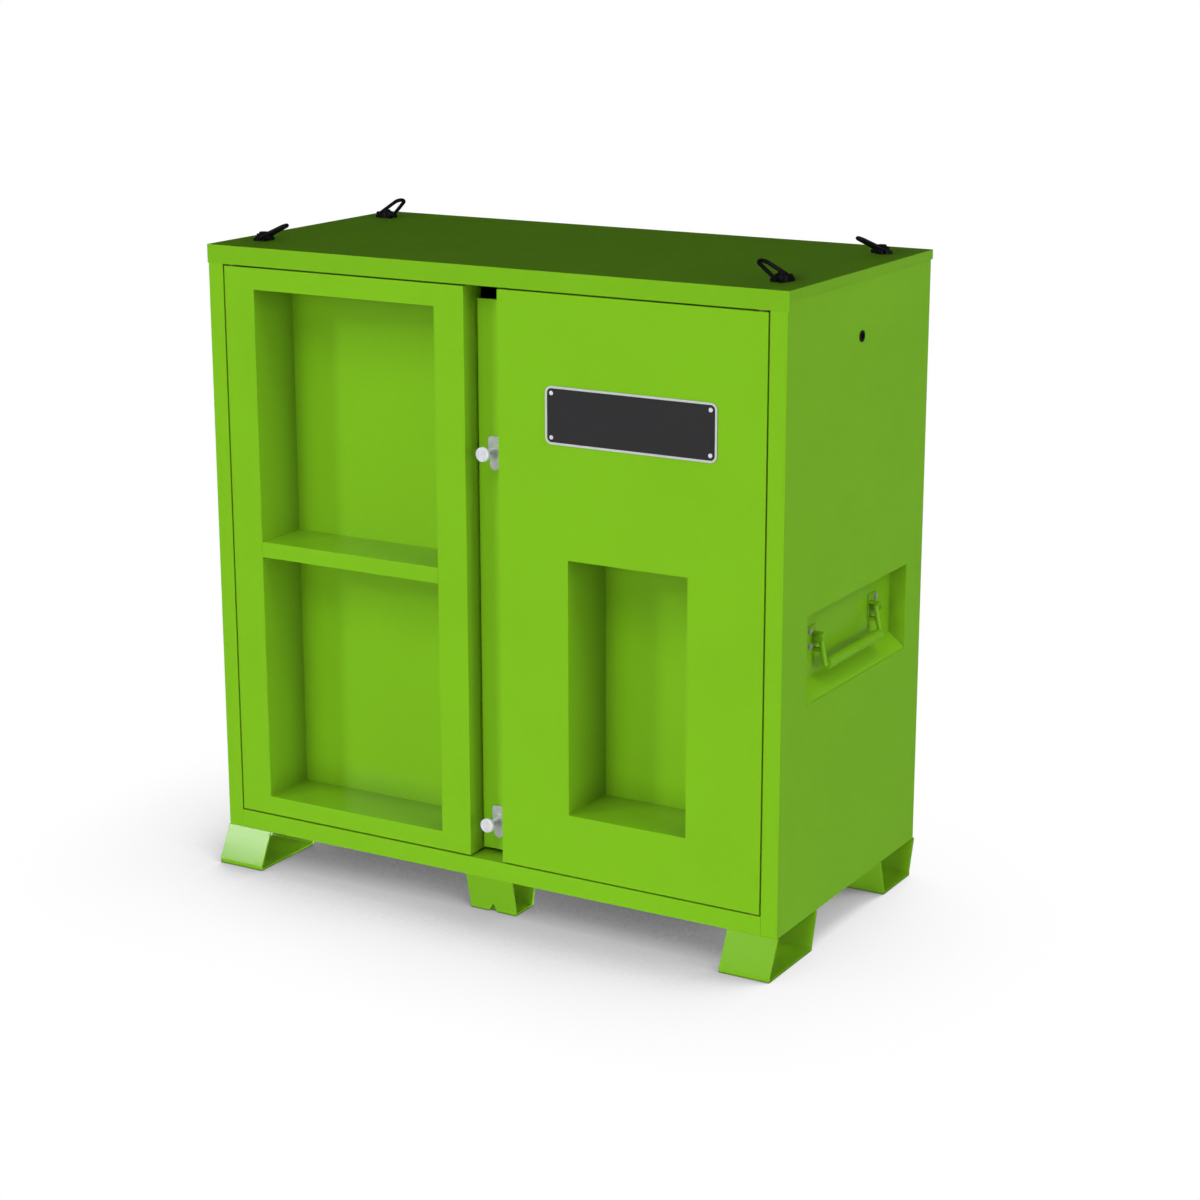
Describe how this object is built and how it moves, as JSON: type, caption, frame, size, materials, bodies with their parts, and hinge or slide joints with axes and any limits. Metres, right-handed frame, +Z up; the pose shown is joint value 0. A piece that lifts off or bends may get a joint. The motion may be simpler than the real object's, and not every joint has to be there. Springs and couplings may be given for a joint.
{
  "type": "jobsite storage cabinet",
  "caption": "Green steel jobsite storage cabinet with inset doors that hold open recesses, turn latches, recessed drop handles on the sides, swivel hoist rings on the roof and bent plate feet",
  "frame": {"origin": "middle of the footprint, on the floor", "axes": "X to the right of a person facing the doors, Y from the doors to the back, Z up"},
  "size_m": [1.524, 0.796, 1.5789],
  "materials": {
    "green_paint": "satin powder coat, bright yellow green",
    "black_paint": "satin black",
    "zinc": "bright zinc plated, slightly worn",
    "rubber": "matt black rubber",
    "bronze": "plain sintered bronze"
  },
  "bodies": {
    "cabinet": {"top_cap": "green_paint", "roof_ribs": "green_paint", "left_side_panel": "green_paint", "right_side_panel": "green_paint", "cable_grommet": "rubber", "back_panel": "green_paint", "base_pan": "green_paint", "base_rails": "green_paint", "door_stops": "green_paint", "door_pivot_pins": "zinc", "left_pocket": "green_paint", "right_pocket": "green_paint", "left_handle_brackets": "green_paint", "right_handle_brackets": "green_paint", "handle_bolts": "zinc", "shelf_lower": "green_paint", "shelf_upper": "green_paint", "shelf_cleats": "green_paint", "foot_front_left": "green_paint", "foot_front_right": "green_paint", "foot_rear_left": "green_paint", "foot_rear_right": "green_paint", "foot_centre_front": "green_paint", "foot_centre_rear": "green_paint", "ring_bushes": "bronze", "ring_bolts": "black_paint", "ring_nuts": "zinc"},
    "left_door": {"left_door_panel": "green_paint", "left_recess_box": "green_paint", "left_recess_shelf": "green_paint", "left_door_keeper": "green_paint", "left_door_bushes": "bronze"},
    "right_door": {"right_door_panel": "green_paint", "right_recess_box": "green_paint", "lock_strip": "green_paint", "latch_bushes": "zinc", "right_door_bushes": "bronze", "blank_plate": "black_paint", "plate_rivets": "zinc"},
    "upper_latch": {"upper_latch_spindle": "zinc", "upper_latch_wing": "zinc", "upper_latch_cam": "zinc", "upper_latch_nut": "zinc"},
    "lower_latch": {"lower_latch_spindle": "zinc", "lower_latch_wing": "zinc", "lower_latch_cam": "zinc", "lower_latch_nut": "zinc"},
    "left_handle": {"left_handle_bail": "green_paint", "left_handle_grip": "green_paint"},
    "right_handle": {"right_handle_bail": "green_paint", "right_handle_grip": "green_paint"},
    "front_left_swivel_body": {"front_left_swivel": "black_paint"},
    "front_left_bail_body": {"front_left_bail": "black_paint"},
    "rear_left_swivel_body": {"rear_left_swivel": "black_paint"},
    "rear_left_bail_body": {"rear_left_bail": "black_paint"},
    "front_right_swivel_body": {"front_right_swivel": "black_paint"},
    "front_right_bail_body": {"front_right_bail": "black_paint"},
    "rear_right_swivel_body": {"rear_right_swivel": "black_paint"},
    "rear_right_bail_body": {"rear_right_bail": "black_paint"}
  },
  "joints": [
    {"name": "left_door_hinge", "type": "hinge", "parent": "cabinet", "child": "left_door", "pos_m": [-0.696, -0.347, 0.813], "axis": [0, 0, -1], "range_deg": [0, 124]},
    {"name": "right_door_hinge", "type": "hinge", "parent": "cabinet", "child": "right_door", "pos_m": [0.696, -0.347, 0.813], "axis": [0, 0, 1], "range_deg": [0, 124]},
    {"name": "upper_latch_turn", "type": "hinge", "parent": "right_door", "child": "upper_latch", "pos_m": [0.004, -0.304, 1.111], "axis": [0, 1, 0], "range_deg": [0, 90]},
    {"name": "lower_latch_turn", "type": "hinge", "parent": "right_door", "child": "lower_latch", "pos_m": [0.004, -0.304, 0.224], "axis": [0, 1, 0], "range_deg": [0, 90]},
    {"name": "left_handle_swing", "type": "hinge", "parent": "cabinet", "child": "left_handle", "pos_m": [-0.736, 0.037, 0.725], "axis": [0, 1, 0], "range_deg": [0, 79]},
    {"name": "right_handle_swing", "type": "hinge", "parent": "cabinet", "child": "right_handle", "pos_m": [0.736, 0.037, 0.725], "axis": [0, -1, 0], "range_deg": [0, 79]},
    {"name": "front_left_ring_turn", "type": "hinge", "parent": "cabinet", "child": "front_left_swivel_body", "pos_m": [-0.686, -0.237, 1.536], "axis": [0, 0, 1], "continuous": true},
    {"name": "front_left_bail_swing", "type": "hinge", "parent": "front_left_swivel_body", "child": "front_left_bail_body", "pos_m": [-0.686, -0.237, 1.5438], "axis": [0.0872, -0.9962, 0], "range_deg": [0, 128]},
    {"name": "rear_left_ring_turn", "type": "hinge", "parent": "cabinet", "child": "rear_left_swivel_body", "pos_m": [-0.686, 0.277, 1.536], "axis": [0, 0, 1], "continuous": true},
    {"name": "rear_left_bail_swing", "type": "hinge", "parent": "rear_left_swivel_body", "child": "rear_left_bail_body", "pos_m": [-0.686, 0.277, 1.5438], "axis": [0.9962, -0.0872, 0], "range_deg": [0, 128]},
    {"name": "front_right_ring_turn", "type": "hinge", "parent": "cabinet", "child": "front_right_swivel_body", "pos_m": [0.686, -0.237, 1.536], "axis": [0, 0, 1], "continuous": true},
    {"name": "front_right_bail_swing", "type": "hinge", "parent": "front_right_swivel_body", "child": "front_right_bail_body", "pos_m": [0.686, -0.237, 1.5438], "axis": [0.2588, 0.9659, 0], "range_deg": [0, 128]},
    {"name": "rear_right_ring_turn", "type": "hinge", "parent": "cabinet", "child": "rear_right_swivel_body", "pos_m": [0.686, 0.277, 1.536], "axis": [0, 0, 1], "continuous": true},
    {"name": "rear_right_bail_swing", "type": "hinge", "parent": "rear_right_swivel_body", "child": "rear_right_bail_body", "pos_m": [0.686, 0.277, 1.5438], "axis": [-0.829, 0.5592, 0], "range_deg": [0, 128]}
  ]
}
